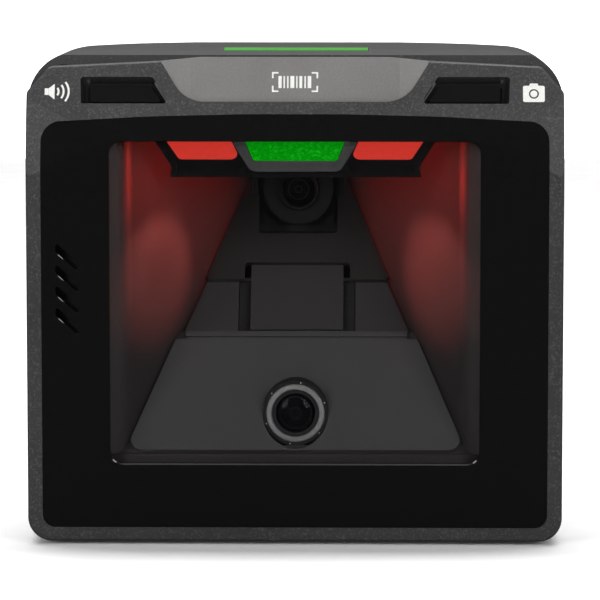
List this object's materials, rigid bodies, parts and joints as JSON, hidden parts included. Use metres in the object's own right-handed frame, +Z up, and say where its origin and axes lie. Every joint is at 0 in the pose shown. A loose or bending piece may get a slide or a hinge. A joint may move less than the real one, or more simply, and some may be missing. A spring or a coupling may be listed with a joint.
{
  "type": "vertical presentation barcode scanner",
  "caption": "Upright countertop barcode scanner with one vertical window, red lamps and a green indicator inside, a round camera below and two push buttons on the leaning forehead.",
  "frame": {"origin": "on the resting plane, under the middle of the body in plan", "axes": "+Z up; the window faces -Y; +X is to the right seen from the front"},
  "size_m": [0.149, 0.08, 0.1382],
  "materials": {
    "bezel_plastic": "finely textured charcoal ABS with a faint sparkle",
    "gloss_black": "polished black",
    "window_glass": "clear anti-reflection coated pane",
    "gasket_rubber": "soft black rubber",
    "silver_paint": "fine satin silver paint",
    "housing_plastic": "satin charcoal ABS",
    "light_bar": "lit green light pipe",
    "brass": "machined",
    "shroud_plastic": "matt black moulding",
    "camera_panel_plastic": "matt dark grey moulding",
    "lens_glass": "dark coated lens",
    "ring_metal": "satin anodised",
    "hood_plastic": "satin black",
    "indicator_plastic": "satin grey",
    "red_diffuser": "lit red diffuser",
    "green_lens": "lit green lens with fine sparkle",
    "circuit_board": "green solder mask",
    "chip": "moulded packages",
    "bracket_steel": "tinned sheet",
    "port_plastic": "black nylon",
    "port_metal": "tinned shell",
    "ribbon": "amber polyimide",
    "speaker_plastic": "black",
    "magnet": "nickel plated",
    "speaker_fabric": "acoustic mesh",
    "screw_steel": "zinc plated"
  },
  "bodies": {
    "scanner": {"front_bezel": "bezel_plastic", "gloss_panel": "gloss_black", "exit_window": "window_glass", "window_gasket": "gasket_rubber", "rubber_feet": "gasket_rubber", "speaker_gasket": "gasket_rubber", "badge_plate": "silver_paint", "rear_housing": "housing_plastic", "base_plate": "housing_plastic", "top_light_pipe": "light_bar", "threaded_inserts": "brass", "optics_shroud": "shroud_plastic", "upper_panel": "shroud_plastic", "middle_panel": "shroud_plastic", "scan_tunnel": "shroud_plastic", "camera_holder": "shroud_plastic", "camera_lens_barrel": "shroud_plastic", "scan_lens_barrel": "shroud_plastic", "scan_lens_mount": "shroud_plastic", "lower_camera_panel": "camera_panel_plastic", "scan_front_lens": "lens_glass", "camera_front_lens": "lens_glass", "camera_trim_ring": "ring_metal", "led_hood": "hood_plastic", "indicator_bezel": "indicator_plastic", "left_red_diffuser": "red_diffuser", "right_red_diffuser": "red_diffuser", "green_indicator_lens": "green_lens", "led_board": "circuit_board", "top_led_board": "circuit_board", "main_board": "circuit_board", "scan_imager_board": "circuit_board", "camera_board": "circuit_board", "button_boards": "circuit_board", "scan_sensor": "chip", "camera_sensor": "chip", "red_leds": "chip", "green_leds": "chip", "camera_bracket": "bracket_steel", "processor_shield": "bracket_steel", "host_port": "port_plastic", "eas_port": "port_plastic", "power_jack": "port_plastic", "button_switches": "port_plastic", "usb_port": "port_metal", "imager_flex": "ribbon", "camera_flex": "ribbon", "led_flex": "ribbon", "speaker_frame": "speaker_plastic", "speaker_cone": "speaker_plastic", "speaker_magnet": "magnet", "speaker_cloth": "speaker_fabric", "housing_screws": "screw_steel", "shroud_screws": "screw_steel", "board_screws": "screw_steel", "base_screws": "screw_steel"},
    "volume_button": {"volume_button": "gloss_black", "volume_switch_plunger": "port_plastic"},
    "camera_button": {"camera_button": "gloss_black", "camera_switch_plunger": "port_plastic"}
  },
  "joints": [
    {"name": "volume_button_press", "type": "slide", "parent": "scanner", "child": "volume_button", "axis": [0, 0.9397, -0.342], "range_m": [0, 0.0008], "stiffness_N_per_m": 800},
    {"name": "camera_button_press", "type": "slide", "parent": "scanner", "child": "camera_button", "axis": [0, 0.9397, -0.342], "range_m": [0, 0.0008], "stiffness_N_per_m": 800}
  ]
}
